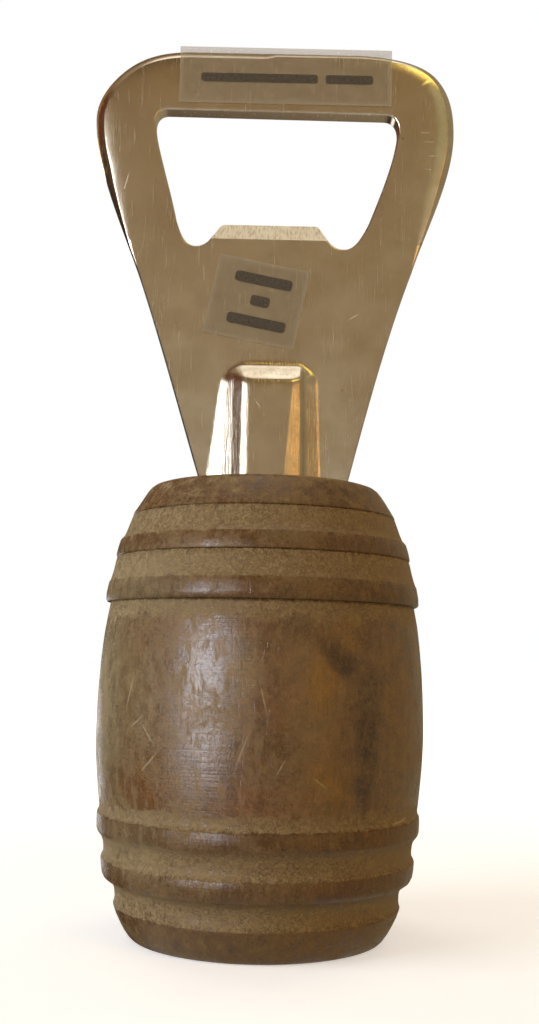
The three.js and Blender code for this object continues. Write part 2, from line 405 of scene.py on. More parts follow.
def build_handle(settings):
    """Spins the barrel, opens its mortise and lets the chisel wander over it."""
    bm = bmesh.new()
    dust = bm.verts.layers.float.new("dust")
    groove = bm.verts.layers.float.new("groove")
    verts = []
    for radius, height, dusty, scribed in barrel_profile():
        vert = bm.verts.new((radius * MM, 0, height * MM))
        vert[dust] = dusty
        vert[groove] = scribed
        verts.append(vert)
    edges = [bm.edges.new(pair) for pair in zip(verts, verts[1:])]
    bmesh.ops.spin(
        bm,
        geom=verts + edges,
        cent=(0, 0, 0),
        axis=(0, 0, 1),
        angle=2 * math.pi,
        steps=settings.steps,
        use_merge=True,
        use_duplicate=False,
    )
    bmesh.ops.remove_doubles(bm, verts=bm.verts, dist=1e-6)
    top = [e for e in bm.edges if e.is_boundary and e.verts[0].co.z > HANDLE_TOP - 1 * MM]
    lip = MOUTH_LIP * MM
    levels = [
        flat_ring(bm, mouth_outline(lip), HANDLE_TOP),
        flat_ring(bm, mouth_outline(0), HANDLE_TOP - lip),
        flat_ring(bm, mouth_outline(0), MOUTH_FLOOR * MM),
        flat_ring(bm, slot_outline(), MOUTH_FLOOR * MM),
        flat_ring(bm, slot_outline(), TANG_FOOT - GLUE_LINE * MM),
    ]
    for around, hole in ((top, levels[0]), (levels[2], levels[3])):
        bmesh.ops.triangle_fill(bm, use_beauty=True, edges=around + hole, normal=(0, 0, 1))
    for first, second in ((0, 1), (1, 2), (3, 4)):
        bridge(bm, levels[first], levels[second])
    bmesh.ops.contextual_create(bm, geom=levels[-1])
    warp = settings.wobble
    for vert in bm.verts:
        flat = Vector((vert.co.x, vert.co.y, 0))
        if flat.length > BASE_FLAT * MM and vert.co.z > BASE_EASE * MM:
            # Waves about 4 mm long, and a grain of about 1 mm that is rougher under the dust.
            wave, grain = noise.noise(vert.co * 260), noise.noise(vert.co * 900)
            rough = wave + 0.6 * grain * (0.4 + vert[dust])
            vert.co += flat.normalized() * warp * (rough - 0.8)
    bmesh.ops.recalc_face_normals(bm, faces=bm.faces)
    sharpen(bm, HANDLE_SMOOTH)
    return finish_mesh(bm, "barrel_handle_turned", [stained_wood(settings)])


# ---- Head ------------------------------------------------------------------------------------

# Where the tang's own centre line stands, and its outline in millimetres from that line.
TANG_X = 1.1
TANG_HALF = 6.0
TANG_CORNER = 2
SHOULDER_HALF = 9.0
SHOULDER_Z = 56.0
KEY_HOLES = (36, 47)
KEY_HOLE_R = 2
TOP_Z = HEAD_HIGH.z / MM

# The head's edges, dressed by hand and so not quite alike, as cubic curves in millimetres. Each
# runs upwards from the neck: distance from the barrel's axis and height.
RIGHT_EDGE = [
    [(11.6, 62.0), (14.2, 72.2), (17.0, 83.8), (20.94, 94.7), 24],
    [(20.94, 94.7), (23.2, 101.8), (27.0, 109.3), (27.36, 116.0), 20],
    [(27.36, 116.0), (27.5, 120.3), (26.9, 123.6), (24.4, 126.15), 16],
    [(24.4, 126.15), (22.6, 127.8), (19.5, 128.9), (13.5, TOP_Z), 14],
]
LEFT_EDGE = [
    [(9.1, 62.0), (12.2, 71.7), (15.6, 83.5), (19.24, 93.8), 24],
    [(19.24, 93.8), (21.9, 101.2), (26.4, 110.4), (26.5, 118.0), 22],
    [(26.5, 118.0), (26.6, 120.6), (25.2, 123.4), (22.5, 125.83), 14],
    [(22.5, 125.83), (20.3, 127.75), (17.6, 129.1), (12.5, TOP_Z), 14],
]

# The lip: its top and foot, half its reach sideways, where the ground facet starts, and the width
# of the flat land that the grinding leaves at the back of its tip.
LIP_TOP, LIP_FOOT = 102.45, 98.9
LIP_HALF = 9.0
FACET_LOW, LIP_LAND = 99.5, 0.8

# The cap opening's edges in the same way as the outer ones, from the lip's tip to the top bar.
RIGHT_OPENING = [
    [(6.9, LIP_TOP), (7.9, 102.0), (8.1, 98.35), (10.9, 98.3), 16],
    [(10.9, 98.3), (12.3, 98.3), (13.2, 99.3), (14.6, 102.2), 12],
    [(14.6, 102.2), (16.2, 106.4), (18.1, 111.2), (18.9, 116.2), 20],
    [(18.9, 116.2), (19.1, 118.2), (18.3, 119.3), (16.9, 119.3), 10],
]
LEFT_OPENING = [
    [(6.9, LIP_TOP), (8.0, 102.1), (8.3, 98.4), (10.9, 98.4), 16],
    [(10.9, 98.4), (12.6, 98.4), (13.2, 100.0), (13.9, 102.2), 12],
    [(13.9, 102.2), (14.9, 106.9), (16.6, 111.9), (17.4, 116.3), 20],
    [(17.4, 116.3), (17.75, 118.4), (17.0, 119.5), (15.6, 119.5), 10],
]

# The rib's cross-section on each side in millimetres: distance from the axis and height, from the
# foot of its skirt over the crease to its flat face, at the handle's rim and at its upper end.
RIB_TOP = 80.9
RIB_RIM_Z = 64.7
RIB_LEFT_RIM = [(8.4, 0), (7.9, 0.1), (6.35, 0.58), (4.85, 1.42), (3.5, 2.38), (2.6, 2.62), (2.1, 2.66)]
RIB_LEFT_END = [(6.8, 0), (6.5, 0.06), (5.95, 0.24), (4.85, 0.86), (3.5, 1.82), (2.8, 2.03), (2.3, 2.1)]
RIB_RIGHT_RIM = [(7.9, 0), (7.7, 0.04), (5.7, 1.1), (5.25, 1.74), (4.95, 2.0), (3.6, 2.42), (2.5, 2.66)]
RIB_RIGHT_END = [(7.3, 0), (7.15, 0.04), (5.5, 0.94), (5.05, 1.42), (4.85, 1.72), (4.3, 1.92), (3.6, 2.1)]
# The slope at its upper end: distance down from the end, and share of the full height.
RIB_END = [(0, 0), (0.5, 0.08), (2.5, 0.8), (3.1, 0.96), (3.8, 1)]
# The patch of the plate's face that the rib is pressed into: its lower and upper edges.
PATCH_LOW, PATCH_HIGH = 56.8, 82.6
# Where the rib fades out inside the handle, and the height that its end section belongs to.
RIB_FOOT, RIB_END_Z = 57.2, 78.4
# The outer edge's roll and the soft shoulder inside it grow from these heights over these lengths.
ROLL_FROM, ROLL_OVER = 98, 12
SHOULDER_FROM, SHOULDER_OVER = 96, 10
SHOULDER_WIDE, SHOULDER_DROP = 1.8, 0.26
RIGHT_ROLL = 0.72
# The groove behind the rib: its depth as a share of the rib's height, and how much narrower it is.
BACK_GROOVE = (0.55, 1.4)


def run_of(curves, side):
    """Points along a run of curves on the right (1) or the left (-1), after the first point."""
    made = []
    for start, first, second, end, count in curves:
        made += [(side * x, z) for x, z in curve(start, first, second, end, count)]
    return made


def head_outline():
    """The head and its tang, anticlockwise from the middle of the tang's foot."""
    foot = TANG_FOOT / MM
    tang = [(0, foot), (TANG_HALF - TANG_CORNER, foot), (TANG_HALF, foot + TANG_CORNER)]
    tang += [(TANG_HALF, SHOULDER_Z), (SHOULDER_HALF, SHOULDER_Z)]
    steps = [2, 2, 14, 3]
    half = []
    for start, end, count in zip(tang, tang[1:], steps):
        half += straight(start, end, count)
    right = [(TANG_X + x, z) for x, z in half]
    left = [(TANG_X - x, z) for x, z in reversed(half)]
    up = straight(right[-1], RIGHT_EDGE[0][0], 4) + run_of(RIGHT_EDGE, 1)
    first_left = (-LEFT_EDGE[0][0][0], LEFT_EDGE[0][0][1])
    rising = straight(left[0], first_left, 4) + run_of(LEFT_EDGE, -1)
    down = list(reversed(rising))
    across = straight(up[-1], down[0], 18)
    return right + up + across[:-1] + down + left + [(TANG_X, foot)]


def opening_outline():
    """The cap opening, anticlockwise from the right end of the lip."""
    tip = LEFT_OPENING[0][0][0]
    right = [(tip, LIP_TOP)] + run_of(RIGHT_OPENING, 1)
    left = list(reversed([(-tip, LIP_TOP)] + run_of(LEFT_OPENING, -1)))
    across = straight(right[-1], left[0], 22)
    back = straight(left[-1], right[0], 12)
    return right + across[:-1] + left + back[:-1]


def round_outline(centre_x, centre_z, radius, count):
    """Points round a hole."""
    made = []
    for i in range(count):
        turn = 2 * math.pi * i / count
        made.append((centre_x + radius * math.cos(turn), centre_z + radius * math.sin(turn)))
    return made


def edge_roll(settings, x, z):
    """The outer edge's radius: full round the head, wider on the left, small beside the rib."""
    share = min(1.0, max(0.0, (z / MM - ROLL_FROM) / ROLL_OVER))
    full = settings.roll * (1.0 if x < 0 else RIGHT_ROLL)
    return settings.neck_roll + (full - settings.neck_roll) * share


def shoulder(z):
    """Width and drop of the soft fall inside the outer edge, at a height. The neck has none."""
    share = min(1.0, max(0.0, (z / MM - SHOULDER_FROM) / SHOULDER_OVER))
    return (0.02 + SHOULDER_WIDE * share) * MM, SHOULDER_DROP * share * MM


def patch_half(z):
    """Half the width of the patch that holds the rib, at a height. It narrows with the neck."""
    return min(9.2, 7.6 + max(0.0, z - PATCH_LOW) * 0.2)


def between(table, place):
    """Reads a table of (place, value) with straight lines between its rows."""
    for (here, value), (after, later) in zip(table, table[1:]):
        if place <= after:
            return value + (later - value) * max(0.0, place - here) / (after - here)
    return table[-1][1]


def rib_rise(x, z, scale, inset):
    """How far the pressed rib stands off the plate, all in millimetres. inset narrows it."""
    depth = min(1.2, max(0.0, (RIB_END_Z - z) / (RIB_END_Z - RIB_RIM_Z)))
    rim_side, end_side = (RIB_LEFT_RIM, RIB_LEFT_END) if x < 0 else (RIB_RIGHT_RIM, RIB_RIGHT_END)
    section = []
    for (far, high), (end_far, end_high) in zip(rim_side, end_side):
        reach = min(end_far + (far - end_far) * depth, patch_half(z) - 0.3) - inset
        section.append((-reach, end_high + (high - end_high) * depth))
    full = section[-1][1]
    side = between(section, -abs(x)) / full if abs(x) < -section[0][0] else 0.0
    end = between(RIB_END, RIB_TOP - inset - z)
    run_out = min(1.0, max(0.0, (z - RIB_FOOT) / 1.5))
    share = 1 - min(1.0, math.hypot(1 - side, 1 - end))
    return scale * full * share * run_out


def rib_patch(bm, side, scale, inset):
    """A fine grid in the plate's face, front (-1) or back (1), that the rib is pressed into.

    Its drawn layer is 1 on the steep flanks, which slid over the die.
    """
    drawn = bm.verts.layers.float["drawn"]
    made = bmesh.ops.create_grid(bm, x_segments=132, y_segments=96, size=0.5)
    step, steep = 0.2, 0.06
    for vert in made["verts"]:
        z = PATCH_LOW + (vert.co.y + 0.5) * (PATCH_HIGH - PATCH_LOW)
        x = vert.co.x * 2 * patch_half(z)
        rise = rib_rise(x, z, scale, inset)
        vert.co = (x * MM, side * PLATE_T / 2 - rise * MM, z * MM)
        fall = abs(rise - rib_rise(x - math.copysign(step, x), z, scale, inset))
        fall = max(fall, abs(rise - rib_rise(x, z - step, scale, inset)))
        vert[drawn] = min(1.0, fall / steep)
    verts = set(made["verts"])
    inner = [v for v in verts if not v.is_boundary]
    for _ in range(2):
        bmesh.ops.smooth_vert(bm, verts=inner, factor=0.5, use_axis_y=True)
    return [e for e in bm.edges if e.is_boundary and e.verts[0] in verts and e.verts[1] in verts]


def grind_lip(bm):
    """Cuts the slanting ground facet across the front of the lip and returns its face."""
    low = LIP_FOOT * MM
    bmesh.ops.bisect_plane(
        bm, geom=bm.verts[:] + bm.edges[:] + bm.faces[:], plane_co=(0, 0, low), plane_no=(0, 0, 1)
    )
    near = []
    for face in bm.faces:
        middle = face.calc_center_median()
        if low < middle.z < (LIP_TOP + 0.5) * MM and abs(middle.x) < LIP_HALF * MM:
            near.append(face)
    around = {e for f in near for e in f.edges} | {v for f in near for v in f.verts}
    facet_low = Vector((0, PLATE_FRONT, FACET_LOW * MM))
    facet_top = Vector((0, PLATE_T / 2 - LIP_LAND * MM, LIP_TOP * MM))
    along = facet_top - facet_low
    cut = bmesh.ops.bisect_plane(
        bm, geom=near + list(around), plane_co=facet_low, plane_no=(0, -along.z, along.y), clear_outer=True
    )
    open_edges = [e for e in cut["geom_cut"] if isinstance(e, bmesh.types.BMEdge) and e.is_boundary]
    made = bmesh.ops.contextual_create(bm, geom=open_edges)
    return made["faces"]


def build_head(settings):
    """Cuts the plate with its opening and key holes, presses the rib and grinds the lip."""
    bm = bmesh.new()
    bm.verts.layers.float.new("drawn")
    outline = in_metres(head_outline())
    opening = in_metres(opening_outline())
    fronts = rib_patch(bm, -1, settings.rib_scale, 0.0)
    backs = rib_patch(bm, 1, *BACK_GROOVE)
    outer_rolls = [edge_roll(settings, x, z) for x, z in outline]
    cuts = [
        (outline, outer_rolls, 7, -1, [shoulder(z) for _, z in outline], 0.7),
        (opening, [settings.opening_roll] * len(opening), 3, 1, None, 0.0),
    ]
    for hole_z in KEY_HOLES:
        hole = round_outline(TANG_X * MM, hole_z * MM, KEY_HOLE_R * MM, 24)
        cuts.append((hole, [0.15 * MM] * 24, 1, 1, None, 0.0))
    for cut in cuts:
        front, back = rim(bm, *cut)
        fronts += front
        backs += back
    bmesh.ops.triangle_fill(bm, use_beauty=True, edges=fronts, normal=(0, -1, 0))
    bmesh.ops.triangle_fill(bm, use_beauty=True, edges=backs, normal=(0, 1, 0))
    bmesh.ops.remove_doubles(bm, verts=bm.verts, dist=1e-7)
    bmesh.ops.recalc_face_normals(bm, faces=bm.faces)
    ground = grind_lip(bm)
    sharpen(bm, HEAD_SMOOTH)
    for face in ground:
        face.material_index = 1
    head = finish_mesh(bm, "opener_head_plated", [plated_metal(settings), ground_metal(settings)])
    weigh = head.modifiers.new("Flat faces stay flat", "WEIGHTED_NORMAL")
    weigh.keep_sharp = True
    return head


# ---- Resin and labels ------------------------------------------------------------------------

# Width and height of each film in millimetres, and how far it is turned clockwise in degrees.
CARE_FILM = (31.9, 8.8, 0.0)
ORIGIN_FILM = (13.6, 12.1, 11.0)
FILM_LIFT = 0.06 * MM
FILM_THICK = 0.09 * MM
FILM_SAG = 0.02 * MM
CUT_EDGE = 0.7 * MM
INK_THICK = 0.02 * MM

# Greeked print: each bar's middle from the film's middle, its width and its height.
CARE_PRINT = [(-3.95, -0.35, 17.5, 1.35), (9.55, -0.35, 7.1, 1.35)]
ORIGIN_PRINT = [(0.4, 3.3, 8.5, 1.6), (0.5, 0.1, 2.8, 1.6), (0.6, -3.1, 8.7, 1.6)]


def fill_mortise():
    """The cured resin round the tang keeps its own shape."""
    node = bpy.data.objects["tang_adhesive"]
    node.data.materials.clear()
    node.data.materials.append(epoxy())


def film_sheet(bm, size, edge_layer):
    """A thin sheet of film about the origin, in X and Z, with each vertex's nearness to its edge."""
    width, height = size[0] * MM, size[1] * MM
    made = bmesh.ops.create_grid(bm, x_segments=40, y_segments=20, size=0.5)
    verts = made["verts"]
    for vert in verts:
        to_side = (0.5 - abs(vert.co.x)) * width
        to_end = (0.5 - abs(vert.co.y)) * height
        vert[edge_layer] = max(0.0, 1 - min(to_side, to_end) / CUT_EDGE)
        vert.co = (vert.co.x * width, 0, vert.co.y * height)
    faces = list({f for v in verts for f in v.link_faces})
    moved = bmesh.ops.extrude_face_region(bm, geom=faces)
    top = [v for v in moved["geom"] if isinstance(v, bmesh.types.BMVert)]
    bmesh.ops.translate(bm, verts=top, vec=(0, -FILM_THICK, 0))


def ink_bar(bm, bar):
    """One greeked word: a plain printed bar with rounded corners."""
    across, up, width, height = [size * MM for size in bar]
    verts = bmesh.ops.create_cube(bm, size=1)["verts"]
    bmesh.ops.scale(bm, vec=(width, INK_THICK, height), verts=verts)
    bmesh.ops.translate(bm, vec=(across, -FILM_THICK - INK_THICK * 0.5, up), verts=verts)
    edges = {e for v in verts for e in v.link_edges}
    corners = [e for e in edges if abs(e.verts[0].co.y - e.verts[1].co.y) > INK_THICK / 2]
    bmesh.ops.bevel(
        bm,
        geom=corners,
        offset=height * 0.3,
        offset_type="OFFSET",
        segments=4,
        profile=0.5,
        affect="EDGES",
        material=-1,
    )


def build_label(name, film, prints, low, high, settings, lift):
    """A film with its print, turned and laid on the plate. lift raises its top edge."""
    bm = bmesh.new()
    edge_layer = bm.verts.layers.float.new("film_edge")
    film_sheet(bm, film, edge_layer)
    sheet = len(bm.faces)
    for bar in prints:
        ink_bar(bm, bar)
    bm.faces.ensure_lookup_table()
    for face in bm.faces[sheet:]:
        face.material_index = 1
    middle = (low + high) / 2
    bmesh.ops.rotate(
        bm, verts=bm.verts, cent=(0, 0, 0), matrix=Matrix.Rotation(math.radians(film[2]), 3, "Y")
    )
    for vert in bm.verts:
        raised = lift * max(0.0, vert.co.z / (film[1] * MM / 2)) ** 3
        sag = FILM_SAG * noise.noise(vert.co * 420)
        vert.co += Vector((middle.x, PLATE_FRONT - FILM_LIFT - raised - sag, middle.z))
    for face in bm.faces:
        face.smooth = False
    return finish_mesh(bm, name, [frosted_film(settings), printing_ink(settings)])


# ---- Materials -------------------------------------------------------------------------------


def in_millimetres(tree, scale=(1, 1, 1), location=(0, 0, 0), rotation=(0, 0, 0)):
    """Object coordinates in millimetres, stretched by scale, for a pattern to read."""
    place = add(tree, "TexCoord").outputs["Object"]
    scaled = tuple(1000 * s for s in scale)
    return add(
        tree, "Mapping", {"Vector": place, "Location": location, "Rotation": rotation, "Scale": scaled}
    )


# Marks in the handle's wood in millimetres: middle, turn about Y in degrees, radii, colour, strength.
# Some golden marks on the right and dust marks on the left are partly painted light.
WOOD_MARKS = [
    # Golden figure on the right of the front: partly real figure, partly painted warm light where the lamp
    # falls.
    ((8.0, -21, 35.5), 0, (3.4, 8, 4.6), "golden", 0.9),
    ((11.5, -20, 41.5), 12, (4.6, 8, 3.6), "golden", 0.7),
    ((18.2, -14, 31), -3, (3.4, 10, 14), "golden", 0.8),
    ((9.5, -21, 22), 0, (3.6, 8, 5.0), "golden", 0.8),
    ((13.9, -18, 31.0), 3, (2.5, 7, 8.0), "dark", 1.0),
    ((13.6, -18, 22.5), -2, (1.9, 7, 6.5), "dark", 0.75),
    ((9.4, -20, 38.6), 46, (8.4, 7, 2.3), "dark", 1.0),
    ((4.4, -22, 42.2), 14, (3.2, 6, 1.6), "dark", 0.6),
    ((4.0, -22.5, 25.0), 0, (3.2, 6, 4.4), "dark", 0.35),
    ((-15, -17, 21.0), 0, (7, 8, 3.6), "reddish", 0.75),
    ((0.5, -23, 20.2), 0, (9, 6, 3.4), "reddish", 0.75),
    ((0.5, -23, 33.5), 0, (4, 6, 6), "reddish", 0.4),
    ((-16.5, -16, 40), 0, (4, 8, 5), "reddish", 0.25),
    # Golden patches round the base and low on the right: partly painted warm light from the lamp's side.
    ((12, -16, 3), 0, (16, 14, 6), "golden", 0.8),
    ((-2, -19, 2), 0, (12, 8, 4), "golden", 0.45),
    ((17, -14, 16), 0, (8, 12, 8), "golden", 0.7),
    # Dust, mostly on the left flank: partly real dust, partly painted light that makes the window's side
    # paler and cooler.
    ((-22.5, -8, 33), 0, (8, 12, 18), "dust", 0.95),
    ((-20, -9, 36), 0, (10, 14, 27), "dust", 0.55),
    ((-14.5, -17, 33), 0, (3.2, 8, 9), "dust", 0.45),
    ((-1.5, -22, 36), 0, (3, 6, 5), "dust", 0.35),
    ((-16, -14, 48), 0, (12, 12, 6), "dust", 0.85),
    ((-17, -14, 14), 0, (10, 12, 7), "dust", 0.6),
    ((-12, 19, 34), 6, (3, 8, 16), "dark", 0.6),
    ((9, 21, 28), -6, (4, 8, 12), "golden", 0.5),
    ((-20, 8, 40), 0, (6, 6, 7), "reddish", 0.4),
]

# Light scratches, and a painted highlight on one hoop's ledge: middle, turn about Y, radii.
WOOD_SCRATCHES_AND_GLINT = [
    ((-15.9, -16.3, 29.6), 48, (0.13, 5, 1.7)),
    ((-14.3, -17.8, 28.3), -34, (0.13, 5, 2.2)),
    ((-13.9, -18.0, 24.8), 40, (0.16, 5, 2.6)),
    ((-16.9, -15.4, 33.4), 12, (0.14, 5, 3.2)),
    ((-2.2, -22.7, 26.5), 20, (0.16, 5, 3.4)),
    ((0.4, -22.8, 33.0), -14, (0.14, 5, 2.6)),
    ((2.6, -22.8, 24.6), 30, (0.12, 5, 1.8)),
    ((7.6, -21.6, 22.8), -52, (0.12, 5, 1.6)),
    # Painted highlight: two pale flecks where the ledge on top of the belly's lowest hoop catches the
    # light, on the right.
    ((18.2, -13.6, 17.15), 82, (0.2, 5, 1.0)),
    ((19.0, -12.6, 17.3), 70, (0.24, 5, 0.9)),
    ((14.0, 17.8, 24.0), 33, (0.14, 5, 3.1)),
    ((-4.0, 22.5, 38.0), -21, (0.14, 5, 3.3)),
]

# Scratches that have roughened the plating, in the same way.
METAL_SCRATCHES = [
    ((22.9, -1.5, 116.6), 88, (0.1, 1, 0.9)),
    ((23.6, -1.5, 115.2), 93, (0.1, 1, 1.1)),
    ((24.0, -1.5, 113.0), 86, (0.1, 1, 0.8)),
    ((23.4, -1.5, 110.9), 91, (0.09, 1, 0.7)),
    ((-1.2, -3.6, 74.2), -38, (0.12, 1, 0.9)),
    ((-21.5, -1.5, 108.0), 15, (0.09, 1, 1.6)),
    ((12.5, -1.5, 88.0), 55, (0.09, 1, 1.3)),
    ((-9.5, 1.5, 92.0), 40, (0.1, 1, 3.5)),
    ((6.5, 1.5, 88.0), -62, (0.1, 1, 2.8)),
]


def mark(tree, place, centre, turn, radii):
    """A soft ellipsoid spot, 1 at its middle and 0 at its radii, in a pattern's coordinates."""
    spot = add(
        tree,
        "Mapping",
        {"Vector": place, "Location": centre, "Rotation": (0, math.radians(turn), 0), "Scale": radii},
        vector_type="TEXTURE",
    )
    return add(tree, "TexGradient", {"Vector": spot}, gradient_type="SPHERICAL")


def stained_wood(settings):
    """Mango wood, lathe-turned, stained brown, thinly waxed and dusty where fingers never reach.

    It gives the eye vertical streaks and short pores, faint rings left by the chisel, a broad
    satin highlight on the belly and a grey bloom in the coves.
    """
    material, tree = new_material("Stained mango wood, turned and waxed")
    plain = in_millimetres(tree)
    # Growth layers about 3 mm wide that run the length of the blank.
    layers = add(
        tree,
        "TexNoise",
        {"Vector": in_millimetres(tree, (0.3, 0.3, 0.024)), "Scale": 1, "Detail": 6, "Distortion": 0.6},
    )
    wood = add(
        tree,
        "ValToRGB",
        {"Fac": layers},
        stops=[
            (0.2, tuple(settings.dark)),
            (0.42, tuple(settings.wood)),
            (0.6, tuple(settings.wood)),
            (0.85, tuple(settings.golden)),
        ],
    )
    # Fibres 0.25 mm wide, drawn a little coarse so that they show.
    fibres = add(
        tree, "TexNoise", {"Vector": in_millimetres(tree, (2.6, 2.6, 0.16)), "Scale": 1, "Detail": 4}
    )
    fibre_tone = add(tree, "MapRange", {0: fibres, 1: 0.3, 2: 0.7, 3: 0.88, 4: 1.1})
    # Open pores: dashes 0.2 mm wide and 2 mm long.
    pores = add(
        tree, "TexNoise", {"Vector": in_millimetres(tree, (3.6, 3.6, 0.42)), "Scale": 1, "Detail": 2}
    )
    pore = add(tree, "MapRange", {0: pores, 1: 0.64, 2: 0.74, 3: 0.0, 4: 1.0})
    # Mottling 1 to 4 mm across, where wax and grime took unevenly.
    mottle = add(tree, "TexNoise", {"Vector": plain, "Scale": 0.55, "Detail": 8, "Roughness": 0.62})
    mottle_tone = add(tree, "MapRange", {0: mottle, 1: 0.3, 2: 0.7, 3: 0.7, 4: 1.24})
    # Crazed wax: dark squiggles 0.2 mm wide, 1 to 2 mm long.
    crazing = add(
        tree, "TexNoise", {"Vector": plain, "Scale": 1.1, "Detail": 3, "Roughness": 0.55, "Distortion": 1.6}
    )
    off_line = add(tree, "Math", {0: crazing, 1: 0.5}, operation="SUBTRACT")
    from_line = add(tree, "Math", {0: off_line}, operation="ABSOLUTE")
    crazed = add(tree, "MapRange", {0: from_line, 1: 0.015, 2: 0.06, 3: 1.0, 4: 0.0})
    crazed_tone = add(tree, "Math", {0: crazed, 1: -0.2, 2: mottle_tone}, operation="MULTIPLY_ADD")
    shade = add(tree, "Math", {0: fibre_tone, 1: crazed_tone}, operation="MULTIPLY")
    colour = add(tree, "VectorMath", {0: wood, "Scale": shade}, operation="SCALE")
    warp = add(tree, "TexNoise", {"Vector": plain, "Scale": 0.22, "Detail": 5})
    shift = add(tree, "VectorMath", {0: warp.outputs["Color"], 1: (0.5, 0.5, 0.5)}, operation="SUBTRACT")
    wandering = add(tree, "VectorMath", {0: shift, 1: (3.6, 3.6, 5), 2: plain}, operation="MULTIPLY_ADD")
    # Stains, figure and dust from WOOD_MARKS; some of them on the flanks are partly painted light.
    for centre, turn, radii, name, strength in WOOD_MARKS:
        spot = mark(tree, wandering, centre, turn, radii)
        amount = add(
            tree,
            "MapRange",
            {0: spot, 1: 0.0, 2: 0.75, 3: 0.0, 4: strength},
            interpolation_type="SMOOTHSTEP",
        )
        stain = add(
            tree, "VectorMath", {0: tuple(getattr(settings, name))[:3], "Scale": shade}, operation="SCALE"
        )
        colour = add(tree, "Mix", {"Factor": amount, "A": colour, "B": stain}, data_type="RGBA")
    # Stain collects in the scribed lines and in the pores. Under the hoops' ledges the dark lines are also
    # painted shade.
    scribed = add(tree, "Attribute", attribute_name="groove").outputs["Fac"]
    pored = add(tree, "Math", {0: pore, 1: 0.3}, operation="MULTIPLY")
    hollows = add(tree, "Math", {0: scribed, 1: pored}, operation="MAXIMUM")
    shaded = add(tree, "Math", {0: hollows, 1: 0.75}, operation="MULTIPLY")
    colour = add(tree, "Mix", {"Factor": shaded, "A": colour, "B": tuple(settings.dark)}, data_type="RGBA")
    # Dust: solid in the coves, scattered as specks of 0.3 to 1 mm over the rest.
    dusty = add(tree, "Attribute", attribute_name="dust").outputs["Fac"]
    specks = add(tree, "TexNoise", {"Vector": plain, "Scale": 1.7, "Detail": 6, "Roughness": 0.75})
    drift = add(tree, "TexNoise", {"Vector": plain, "Scale": 0.13, "Detail": 3})
    lying = add(tree, "Math", {0: specks, 1: drift}, operation="ADD")
    thin = add(tree, "MapRange", {0: lying, 1: 0.95, 2: 1.25, 3: 0.0, 4: settings.speckle})
    # Where it lies thick its edge is ragged and the crazing shows through.
    ragged = add(tree, "Math", {0: mottle, 1: 1.4, 2: dusty}, operation="MULTIPLY_ADD")
    lain = add(tree, "MapRange", {0: ragged, 1: 0.95, 2: 1.2, 3: 0.0, 4: 1.0})
    broken = add(tree, "Math", {0: crazed, 1: -0.45, 2: specks}, operation="MULTIPLY_ADD")
    covered = add(tree, "MapRange", {0: broken, 1: 0.0, 2: 0.6, 3: 0.15, 4: 1.0})
    bloom = add(tree, "Math", {0: lain, 1: covered}, operation="MULTIPLY")
    # Worn patches: pale flecks drawn out along the grain, 1 mm wide.
    flecks = add(
        tree,
        "TexNoise",
        {"Vector": in_millimetres(tree, (0.85, 0.85, 0.3)), "Scale": 1, "Detail": 7, "Roughness": 0.68},
    )
    worn_through = add(tree, "MapRange", {0: flecks, 1: 0.51, 2: 0.68, 3: 0.0, 4: 0.62})
    open_dust = add(tree, "Math", {0: thin, 1: worn_through}, operation="MAXIMUM")
    dust = add(tree, "Math", {0: open_dust, 1: bloom}, operation="MAXIMUM")
    caked = add(tree, "Math", {0: crazed, 1: -0.3, 2: specks}, operation="MULTIPLY_ADD")
    dust_tone = add(tree, "MapRange", {0: caked, 1: 0.15, 2: 0.65, 3: 0.68, 4: 1.2})
    dust_colour = add(
        tree, "VectorMath", {0: tuple(settings.dust)[:3], "Scale": dust_tone}, operation="SCALE"
    )
    colour = add(tree, "Mix", {"Factor": dust, "A": colour, "B": dust_colour}, data_type="RGBA")
    # Scratches show the paler wood under the stain. Two of them are a painted highlight on a ledge.
    for centre, turn, radii in WOOD_SCRATCHES_AND_GLINT:
        spot = mark(tree, plain, centre, turn, radii)
        scratch_and_glint_mask = add(tree, "Math", {0: spot, 1: specks}, operation="MULTIPLY")
        amount = add(tree, "MapRange", {0: scratch_and_glint_mask, 1: 0.05, 2: 0.3, 3: 0.0, 4: 0.75})
        colour = add(
            tree, "Mix", {"Factor": amount, "A": colour, "B": tuple(settings.scratch_and_glint)}, data_type="RGBA"
        )
    # Rings left by the chisel, 0.35 mm apart, and their coarser chatter.
    rings = add(
        tree,
        "TexNoise",
        {"Vector": in_millimetres(tree, (0.05, 0.05, 3.0)), "Scale": 1, "Detail": 5, "Roughness": 0.7},
    )
    wax = add(tree, "MapRange", {0: mottle, 1: 0.3, 2: 0.7, 3: 0.14, 4: 0.27})
    ringed = add(tree, "Math", {0: rings, 1: 0.12, 2: wax}, operation="MULTIPLY_ADD")
    worn = add(tree, "Math", {0: ringed, 1: 0.05}, operation="SUBTRACT")
    rough = add(tree, "Mix", {"Factor": dust, "A": worn, "B": 0.92}, data_type="FLOAT")
    grained = add(tree, "Math", {0: fibres, 1: 0.45}, operation="MULTIPLY")
    relief = add(tree, "Math", {0: rings, 1: 1.0, 2: grained}, operation="MULTIPLY_ADD")
    speckled = add(tree, "Math", {0: specks, 1: 1.1, 2: relief}, operation="MULTIPLY_ADD")
    pitted = add(tree, "Math", {0: pore, 1: -0.5, 2: speckled}, operation="MULTIPLY_ADD")
    bump = add(tree, "Bump", {"Height": pitted, "Strength": 0.7, "Distance": 0.05 * MM})
    # Wax shines on the open belly, less on the stained hoops and hardly at all under dust.
    dulled = add(tree, "Math", {0: scribed, 1: 0.9, 2: dust}, operation="MULTIPLY_ADD")
    shine = add(tree, "MapRange", {0: dulled, 1: 0.0, 2: 0.9, 3: 0.85, 4: 0.12})
    surface(
        tree,
        {"Base Color": colour, "Roughness": rough, "Normal": bump, "IOR": 1.5, "Specular IOR Level": shine},
    )
    return material


